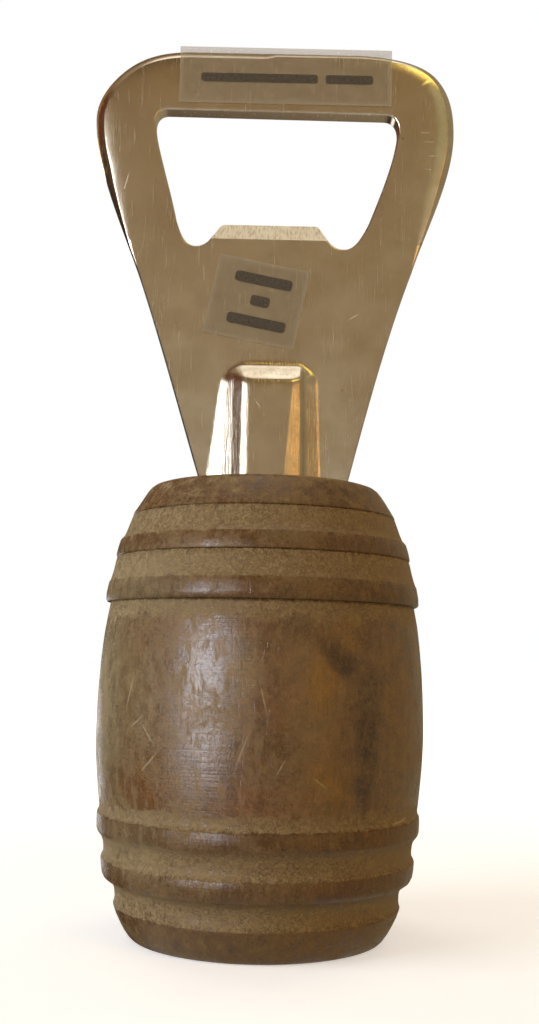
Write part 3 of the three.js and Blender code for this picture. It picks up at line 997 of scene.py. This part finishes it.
def plated_metal(settings):
    """Steel pressing, barrel-polished and nickel-plated, handled until it clouded.

    It gives the eye a soft warm mirror with a slow ripple, hairline scratches and small stains.
    """
    material, tree = new_material("Nickel-plated steel, barrel polished")
    plain = in_millimetres(tree)
    cloud = add(tree, "TexNoise", {"Vector": plain, "Scale": 0.16, "Detail": 6, "Roughness": 0.6})
    tint = add(
        tree,
        "ValToRGB",
        {"Fac": cloud},
        stops=[(0.3, tuple(settings.tarnish)), (0.62, tuple(settings.plating))],
    )
    # Stains 0.2 to 0.6 mm across in the plating.
    pits = add(tree, "TexVoronoi", {"Vector": plain, "Scale": 0.42, "Randomness": 1.0})
    sizes = add(tree, "TexNoise", {"Vector": plain, "Scale": 0.3, "Detail": 1})
    reach = add(tree, "MapRange", {0: sizes, 1: 0.53, 2: 0.75, 3: 0.0, 4: 0.14})
    pit = add(tree, "Math", {0: pits, 1: reach}, operation="LESS_THAN")
    pit_tone = add(tree, "Math", {0: pit, 1: 0.45}, operation="MULTIPLY")
    colour = add(
        tree, "Mix", {"Factor": pit_tone, "A": tint, "B": tuple(settings.tarnish_dark)}, data_type="RGBA"
    )
    # Hairline scratches in two directions, 0.1 mm wide and several millimetres long.
    hairs = []
    for turn, scale in ((0.5, (5.5, 1, 0.12)), (-0.9, (6.5, 1, 0.15))):
        lines = add(
            tree,
            "TexNoise",
            {"Vector": in_millimetres(tree, scale, rotation=(0, turn, 0)), "Scale": 1, "Detail": 2},
        )
        hairs.append(add(tree, "MapRange", {0: lines, 1: 0.66, 2: 0.74, 3: 0.0, 4: 1.0}))
    hair = add(tree, "Math", {0: hairs[0], 1: hairs[1]}, operation="MAXIMUM")
    smear = add(
        tree,
        "MapRange",
        {0: cloud, 1: 0.3, 2: 0.7, 3: settings.roughness + 0.07, 4: settings.roughness - 0.03},
    )
    rough = add(tree, "Math", {0: hair, 1: 0.12, 2: smear}, operation="MULTIPLY_ADD")
    for centre, turn, radii in METAL_SCRATCHES:
        spot = mark(tree, plain, centre, turn, radii)
        gouge = add(tree, "MapRange", {0: spot, 1: 0.0, 2: 0.4, 3: 0.0, 4: 0.5})
        rough = add(tree, "Math", {0: rough, 1: gouge}, operation="MAXIMUM")
    # Slow ripple of the pressing, 6 mm and 1.5 mm across, a few hundredths of a millimetre high.
    ripple = add(tree, "TexNoise", {"Vector": plain, "Scale": 0.17, "Detail": 3})
    slow = add(tree, "Bump", {"Height": ripple, "Strength": 1.0, "Distance": 0.06 * MM})
    grit = add(tree, "TexNoise", {"Vector": plain, "Scale": 2.2, "Detail": 4})
    grit_sum = add(tree, "Math", {0: hair, 1: -0.5, 2: grit}, operation="MULTIPLY_ADD")
    fine = add(tree, "Bump", {"Height": grit_sum, "Strength": 0.5, "Distance": 0.006 * MM, "Normal": slow})
    # Draw marks on the rib's flanks, 0.2 mm apart, broken every few millimetres.
    drawn = add(tree, "Attribute", attribute_name="drawn").outputs["Fac"]
    marks = add(
        tree,
        "TexNoise",
        {"Vector": in_millimetres(tree, (4.5, 1, 0.35)), "Scale": 1, "Detail": 5, "Roughness": 0.6},
    )
    scored = add(tree, "Math", {0: marks, 1: drawn}, operation="MULTIPLY")
    bump = add(tree, "Bump", {"Height": scored, "Strength": 1.0, "Distance": 0.05 * MM, "Normal": fine})
    surface(tree, {"Base Color": colour, "Roughness": rough, "Normal": bump, "Metallic": 1.0})
    return material


def ground_metal(settings):
    """The lip's slanting face, ground before plating: pale, matt and finely scored."""
    material, tree = new_material("Nickel-plated steel, ground")
    # Grinding lines 0.25 mm apart and 2 mm long, a little aslant.
    lines = add(
        tree,
        "TexNoise",
        {"Vector": in_millimetres(tree, (4.2, 1, 0.55), rotation=(0, 0.4, 0)), "Scale": 1, "Detail": 5},
    )
    tint = add(
        tree,
        "ValToRGB",
        {"Fac": lines},
        stops=[(0.3, tuple(settings.tarnish)), (0.55, tuple(settings.ground))],
    )
    rough = add(tree, "MapRange", {0: lines, 1: 0.3, 2: 0.7, 3: 0.55, 4: 0.38})
    bump = add(tree, "Bump", {"Height": lines, "Strength": 0.8, "Distance": 0.05 * MM})
    surface(tree, {"Base Color": tint, "Roughness": rough, "Normal": bump, "Metallic": 1.0})
    return material


def frosted_film(settings):
    """Self-adhesive polypropylene film, frosted: a milky grey veil with a brighter cut edge."""
    material, tree = new_material("Frosted polypropylene film")
    plain = in_millimetres(tree)
    # Trapped air and fibres of 0.5 to 3 mm cloud the adhesive.
    air = add(tree, "TexNoise", {"Vector": plain, "Scale": 0.6, "Detail": 8, "Roughness": 0.7})
    tint = add(
        tree,
        "ValToRGB",
        {"Fac": air},
        stops=[(0.3, tuple(settings.film_low)), (0.65, tuple(settings.film))],
    )
    edge = add(tree, "Attribute", attribute_name="film_edge").outputs["Fac"]
    bright = add(tree, "MapRange", {0: edge, 1: 0.1, 2: 0.6, 3: 0.0, 4: 0.6})
    colour = add(
        tree, "Mix", {"Factor": bright, "A": tint, "B": tuple(settings.film_edge)}, data_type="RGBA"
    )
    rough = add(tree, "MapRange", {0: air, 1: 0.3, 2: 0.7, 3: 0.32, 4: 0.5})
    bump = add(tree, "Bump", {"Height": air, "Strength": 0.4, "Distance": 0.02 * MM})
    surface(tree, {"Base Color": colour, "Roughness": rough, "Normal": bump, "Alpha": 0.38, "IOR": 1.49})
    return material


def printing_ink(settings):
    """Thermal-transfer ink: dark grey and matt, thinner where the ribbon skipped."""
    material, tree = new_material("Thermal-transfer ink, matt")
    # The ribbon skips in specks of about 0.3 mm.
    skips = add(tree, "TexNoise", {"Vector": in_millimetres(tree), "Scale": 3.0, "Detail": 4})
    tint = add(
        tree,
        "ValToRGB",
        {"Fac": skips},
        stops=[(0.35, tuple(settings.ink)), (0.7, tuple(settings.ink_thin))],
    )
    rough = add(tree, "MapRange", {0: skips, 1: 0.3, 2: 0.7, 3: 0.5, 4: 0.7})
    surface(tree, {"Base Color": tint, "Roughness": rough, "IOR": 1.5})
    return material


def epoxy():
    """Cured epoxy, poured: glassy amber brown with a few trapped bubbles."""
    material, tree = new_material("Cured epoxy, poured")
    plain = in_millimetres(tree)
    haze = add(tree, "TexNoise", {"Vector": plain, "Scale": 0.9, "Detail": 5})
    tint = add(tree, "ValToRGB", {"Fac": haze}, stops=[(0.3, linear("#6B4E28")), (0.7, linear("#A07C44"))])
    # Bubbles 0.3 mm across.
    bubbles = add(tree, "TexVoronoi", {"Vector": plain, "Scale": 1.1})
    dome = add(tree, "MapRange", {0: bubbles, 1: 0.0, 2: 0.2, 3: 1.0, 4: 0.0})
    bump = add(tree, "Bump", {"Height": dome, "Strength": 0.6, "Distance": 0.05 * MM})
    rough = add(tree, "MapRange", {0: haze, 1: 0.3, 2: 0.7, 3: 0.12, 4: 0.3})
    surface(tree, {"Base Color": tint, "Normal": bump, "Roughness": rough, "IOR": 1.55})
    return material


# ---- Stage -----------------------------------------------------------------------------------

# What the metal mirrors, all at a distance. Directions in degrees: azimuth from the front, to the
# viewer's left as positive, half width, then elevation and half height, softness, colour, strength.
ROOM = [
    (0, 180, -62, 30, 24, "#BDB4A6", 1.1),
    (110, 66, 66, 16, 10, "#A8957C", 0.9),
    (110, 66, 30, 18, 12, "#7A4C36", 0.75),
    (112, 62, -10, 24, 12, "#4A3A2C", 0.7),
    (-112, 62, 20, 60, 16, "#A89A7C", 0.85),
    (8, 14, 2, 8, 9, "#BBB1A0", 0.95),
    (60, 9, -10, 26, 5, "#A89C8C", 0.95),
    (40, 11, 4, 13, 5, "#E6EEFA", 12.0),
    (-24, 5, 8, 10, 4, "#D8CCB0", 0.95),
    (-24, 7, 27, 9, 5, "#B8B088", 0.9),
    (-37, 6, -4, 22, 4, "#F0A848", 1.9),
    (-39, 3, -4, 22, 3, "#FFC870", 2.3),
    (-28, 13, 47, 7, 4, "#F8DC78", 3.4),
    (155, 7, -7, 7, 5, "#FFFFFF", 1.7),
    (0, 180, 84, 14, 12, "#E6E2D8", 2.0),
]


def smooth_window(tree, value, centre, half, soft):
    """Nodes for 1 within half of centre, falling smoothly to 0 over soft."""
    away = add(tree, "Math", {0: value, 1: centre}, operation="SUBTRACT")
    far = add(tree, "Math", {0: away}, operation="ABSOLUTE")
    return add(
        tree,
        "MapRange",
        {0: far, 1: half + soft / 2, 2: max(0.0, half - soft / 2), 3: 0.0, 4: 1.0},
        interpolation_type="SMOOTHSTEP",
    )


def paint_room(settings):
    """A world that is pale to the eye, a brown room to the metal and soft daylight to the rest."""
    world = bpy.data.worlds.new("Studio")
    world.use_nodes = True
    tree = world.node_tree
    tree.nodes.clear()
    way = add(tree, "TexCoord").outputs["Generated"]
    parts = add(tree, "SeparateXYZ", {0: way})
    left = add(tree, "Math", {0: parts.outputs[0], 1: -1}, operation="MULTIPLY")
    front = add(tree, "Math", {0: parts.outputs[1], 1: -1}, operation="MULTIPLY")
    turn = add(tree, "Math", {0: left, 1: front}, operation="ARCTAN2")
    azimuth = add(tree, "Math", {0: turn}, operation="DEGREES")
    lift = add(tree, "Math", {0: parts.outputs[2]}, operation="ARCSINE")
    elevation = add(tree, "Math", {0: lift}, operation="DEGREES")
    room = add(
        tree,
        "ValToRGB",
        {"Fac": add(tree, "MapRange", {0: elevation, 1: -90, 2: 90, 3: 0, 4: 1})},
        stops=[
            (0.0, linear("#5E5247")),
            (0.42, linear("#6E5F4D")),
            (0.55, tuple(settings.room_low)),
            (0.66, tuple(settings.room_high)),
            (0.85, linear("#5C4A36")),
        ],
    )
    colour = room
    for across, half_across, up, half_up, soft, tint, strength in ROOM:
        wide = smooth_window(tree, azimuth, across, half_across, soft)
        tall = smooth_window(tree, elevation, up, half_up, soft)
        inside = add(tree, "Math", {0: wide, 1: tall}, operation="MULTIPLY")
        lamp = tuple(c * strength for c in linear(tint)[:3]) + (1.0,)
        colour = add(tree, "Mix", {"Factor": inside, "A": colour, "B": lamp}, data_type="RGBA")
    path = add(tree, "LightPath")
    mirrored_room = add(tree, "Background", {"Color": colour})
    daylight = add(
        tree, "Background", {"Color": tuple(settings.ambient), "Strength": settings.ambient_strength}
    )
    pale = add(tree, "Background", {"Color": WHITE, "Strength": 1.0})
    glossy = add(tree, "MixShader", {0: path.outputs["Is Glossy Ray"], 1: daylight, 2: mirrored_room})
    seen = add(tree, "MixShader", {0: path.outputs["Is Camera Ray"], 1: glossy, 2: pale})
    add(tree, "OutputWorld", {"Surface": seen})
    bpy.context.scene.world = world
    world.cycles.sampling_method = "NONE"


# Square soft lights: name, direction as in the room, distance and size in metres, watts, colour.
LIGHTS = [
    ("Window", (66, 12), 0.7, 0.5, 4.9, "#EAF2FF"),
    ("Lamp", (-45, 25), 0.8, 0.4, 1.35, "#FFCC80"),
    ("Back left", (140, 35), 0.8, 0.5, 1.1, "#FFFFFF"),
    ("Back right", (-140, 35), 0.8, 0.5, 1.1, "#FFF4E4"),
]

# The camera's distance in front of the handle's axis and height in metres, and its turns in degrees.
CAMERA_PLACE = (0, -0.172, 0.0381)
CAMERA_ROLL, CAMERA_PITCH, CAMERA_YAW = 1.1462, 96.963, -0.2521
SENSOR_WIDTH = 36

FLOOR_HALF = 4
FLOOR_DROP = 0.02


def soft_light(name, direction, distance, size, power, colour):
    """A soft light that faces the opener's middle and is not itself seen in the metal."""
    light = bpy.data.lights.new(name, "AREA")
    light.shape = "SQUARE"
    light.size = size
    light.energy = power
    light.color = linear(colour)[:3]
    lamp = bpy.data.objects.new(name, light)
    azimuth, elevation = [math.radians(angle) for angle in direction]
    away = Vector(
        (
            -math.sin(azimuth) * math.cos(elevation),
            -math.cos(azimuth) * math.cos(elevation),
            math.sin(elevation),
        )
    )
    lamp.location = Vector((0, 0, HEAD_TOP / 2)) + away * distance
    lamp.rotation_euler = away.to_track_quat("Z", "Y").to_euler()
    lamp.visible_glossy = False
    lamp.visible_camera = False
    bpy.context.scene.collection.objects.link(lamp)


def build_floor():
    """A wide pale floor, a hair below the handle's base so that the two never share a plane."""
    bm = bmesh.new()
    bmesh.ops.create_grid(bm, x_segments=4, y_segments=4, size=FLOOR_HALF)
    bmesh.ops.translate(bm, verts=bm.verts, vec=(0, 0, -FLOOR_DROP * MM))
    floor = finish_mesh(bm, "studio_floor", [pale_paper()])
    floor.visible_glossy = False
    floor.visible_diffuse = False


def pale_paper():
    """Matt studio paper: white, with a faint tooth."""
    material, tree = new_material("Studio paper, matt")
    tooth = add(tree, "TexNoise", {"Vector": in_millimetres(tree), "Scale": 0.2, "Detail": 3})
    tint = add(tree, "ValToRGB", {"Fac": tooth}, stops=[(0.3, linear("#F4F3F1")), (0.7, linear("#F8F7F5"))])
    # Lit evenly into the distance, where the lamps do not reach.
    place = add(tree, "TexCoord").outputs["Object"]
    far = add(tree, "VectorMath", {0: place}, operation="LENGTH").outputs["Value"]
    glow = add(tree, "MapRange", {0: far, 1: 0.08, 2: 0.5, 3: 0.45, 4: 0.95})
    surface(
        tree, {"Base Color": tint, "Roughness": 0.9, "Emission Color": WHITE, "Emission Strength": glow}
    )
    return material


def place_camera(settings):
    """The camera, close in front of the handle and tipped up a little."""
    lens = bpy.data.cameras.new("View")
    lens.lens = settings.focal_length
    lens.sensor_width = SENSOR_WIDTH
    lens.clip_start = 0.01
    camera = bpy.data.objects.new("View", lens)
    roll = Matrix.Rotation(math.radians(CAMERA_ROLL), 4, "Z")
    pitch = Matrix.Rotation(math.radians(CAMERA_PITCH), 4, "X")
    yaw = Matrix.Rotation(math.radians(CAMERA_YAW), 4, "Z")
    camera.matrix_world = Matrix.Translation(CAMERA_PLACE) @ yaw @ pitch @ roll
    bpy.context.scene.collection.objects.link(camera)
    bpy.context.scene.camera = camera


# ---- Settings --------------------------------------------------------------------------------


def tone(name, description, hex_colour):
    """A colour setting."""
    return FloatVectorProperty(
        name=name,
        description=description,
        default=linear(hex_colour),
        size=4,
        min=0.0,
        max=1.0,
        subtype="COLOR",
    )


def length(name, description, millimetres, least=0.0):
    """A length setting."""
    return FloatProperty(
        name=name,
        description=description,
        default=millimetres * MM,
        min=least * MM,
        subtype="DISTANCE",
        unit="LENGTH",
    )


def share(name, description, default, least=0.0):
    """A setting between least and 1."""
    return FloatProperty(
        name=name, description=description, default=default, min=least, max=1.0, subtype="FACTOR"
    )


class OpenerHandleSettings(bpy.types.PropertyGroup):
    steps: IntProperty(
        name="Steps round", description="Faces round the turned handle", default=192, min=32, max=512
    )
    wobble: length("Wobble", "How far the hand-held chisel strayed", 0.05)
    speckle: share("Speckle", "How much loose dust lies on the open wood", 0.5)
    wood: tone("Wood", "Stained wood", "#735534")
    dark: tone("Dark figure", "Heartwood streaks, pores and scribed lines", "#472C14")
    golden: tone("Golden figure", "Sapwood that the stain left golden", "#7F5C22")
    reddish: tone("Reddish figure", "Patches where the stain runs red", "#7A5230")
    dust: tone("Dust", "Dust and grey wax in the coves", "#927F5E")
    scratch_and_glint: tone("Scratches", "Pale wood under the stain", "#B09A78")


class OpenerHeadSettings(bpy.types.PropertyGroup):
    roll: length("Edge roll", "Radius of the polished outer edge", 1.42, 0.1)
    neck_roll: length("Neck edge roll", "Radius of the outer edge beside the rib", 0.24, 0.1)
    opening_roll: length("Opening roll", "Radius of the edge round the cap opening", 0.3, 0.05)
    rib_scale: share("Rib height", "Height of the rib, as a share of its full pressing", 1.0, 0.2)
    roughness: share("Roughness", "How clouded the plating is", 0.17, 0.05)
    plating: tone("Plating", "Clean nickel plating", "#E2D6C4")
    tarnish: tone("Tarnish", "Clouded plating", "#CBBAA0")
    tarnish_dark: tone("Stains", "Small stains in the plating", "#6B563C")
    ground: tone("Ground lip", "The lip's ground face", "#EADFC9")


class OpenerLabelSettings(bpy.types.PropertyGroup):
    film: tone("Film", "Frosted film", "#BDAF93")
    film_low: tone("Clear film", "Film where its adhesive has wetted out", "#A39478")
    film_edge: tone("Cut edge", "The film's bright cut edge", "#CBC0AA")
    ink: tone("Ink", "Printed bars", "#3A342C")
    ink_thin: tone("Thin ink", "Print where the ribbon skipped", "#5C5346")
    lift: length("Lift", "How far the care label's top edge stands off the plate", 0.03)


class OpenerStageSettings(bpy.types.PropertyGroup):
    focal_length: FloatProperty(
        name="Focal length", description="Focal length of the camera in millimetres", default=42.0, min=10.0
    )
    room_low: tone("Room, level", "What the plate mirrors near the horizon", "#A89A80")
    room_high: tone("Room, above", "What the plate mirrors above the horizon", "#927A58")
    ambient: tone("Ambient", "Soft light from all round", "#FFE9C4")
    ambient_strength: FloatProperty(
        name="Ambient strength",
        description="Strength of the soft light from all round",
        default=0.3,
        min=0.0,
    )


# ---- Operators and panel ---------------------------------------------------------------------


class OPENER_OT_build_handle(bpy.types.Operator):
    """Turns the wooden barrel"""

    bl_idname = "opener.build_handle"
    bl_label = "Turned Handle"

    def execute(self, context):
        piece = build_handle(context.scene.opener_handle)
        settle(piece, "turned_wood", "barrel_handle")
        return {"FINISHED"}


class OPENER_OT_build_head(bpy.types.Operator):
    """Presses, grinds and plates the opener head"""

    bl_idname = "opener.build_head"
    bl_label = "Plated Head"

    def execute(self, context):
        piece = build_head(context.scene.opener_head)
        settle(piece, "plated_steel", "opener_head")
        return {"FINISHED"}


class OPENER_OT_fill_mortise(bpy.types.Operator):
    """Gives the resin round the tang its finish"""

    bl_idname = "opener.fill_mortise"
    bl_label = "Mortise Resin"

    def execute(self, context):
        fill_mortise()
        return {"FINISHED"}


class OPENER_OT_build_labels(bpy.types.Operator):
    """Sticks the two film labels on the head"""

    bl_idname = "opener.build_labels"
    bl_label = "Film Labels"

    def execute(self, context):
        labels = context.scene.opener_labels
        care = build_label(
            "care_label_film", CARE_FILM, CARE_PRINT, CARE_LOW, CARE_HIGH, labels, labels.lift
        )
        settle(care, "clear_film", "care_label")
        origin = build_label(
            "origin_label_film", ORIGIN_FILM, ORIGIN_PRINT, ORIGIN_LOW, ORIGIN_HIGH, labels, 0.0
        )
        settle(origin, "clear_film", "origin_label")
        return {"FINISHED"}


class OPENER_OT_build_stage(bpy.types.Operator):
    """Sets the floor, the lights, the room and the camera"""

    bl_idname = "opener.build_stage"
    bl_label = "Stage"

    def execute(self, context):
        stage = context.scene.opener_stage
        build_floor()
        paint_room(stage)
        for row in LIGHTS:
            soft_light(*row)
        place_camera(stage)
        context.scene.view_settings.view_transform = "Standard"
        return {"FINISHED"}


class OPENER_PT_parts(bpy.types.Panel):
    """Lists the opener's parts with their settings"""

    bl_label = "Barrel-Handled Opener"
    bl_idname = "OPENER_PT_parts"
    bl_space_type = "VIEW_3D"
    bl_region_type = "UI"
    bl_category = "Opener"

    def draw(self, context):
        rows = [
            ("opener_handle", "opener.build_handle"),
            ("opener_head", "opener.build_head"),
            (None, "opener.fill_mortise"),
            ("opener_labels", "opener.build_labels"),
            ("opener_stage", "opener.build_stage"),
        ]
        for name, operator in rows:
            box = self.layout.box()
            if name:
                group = getattr(context.scene, name)
                for key in group.__annotations__:
                    box.prop(group, key)
            box.operator(operator)


SETTINGS = {
    "opener_handle": OpenerHandleSettings,
    "opener_head": OpenerHeadSettings,
    "opener_labels": OpenerLabelSettings,
    "opener_stage": OpenerStageSettings,
}

CLASSES = [
    *SETTINGS.values(),
    OPENER_OT_build_handle,
    OPENER_OT_build_head,
    OPENER_OT_fill_mortise,
    OPENER_OT_build_labels,
    OPENER_OT_build_stage,
    OPENER_PT_parts,
]


def register():
    for kind in CLASSES:
        bpy.utils.register_class(kind)
    for name, kind in SETTINGS.items():
        setattr(bpy.types.Scene, name, PointerProperty(type=kind))


def unregister():
    for name in SETTINGS:
        delattr(bpy.types.Scene, name)
    for kind in reversed(CLASSES):
        bpy.utils.unregister_class(kind)


def main():
    register()
    bpy.ops.opener.build_stage()
    bpy.ops.opener.build_handle()
    bpy.ops.opener.build_head()
    bpy.ops.opener.fill_mortise()
    bpy.ops.opener.build_labels()


if __name__ == "__main__":
    main()
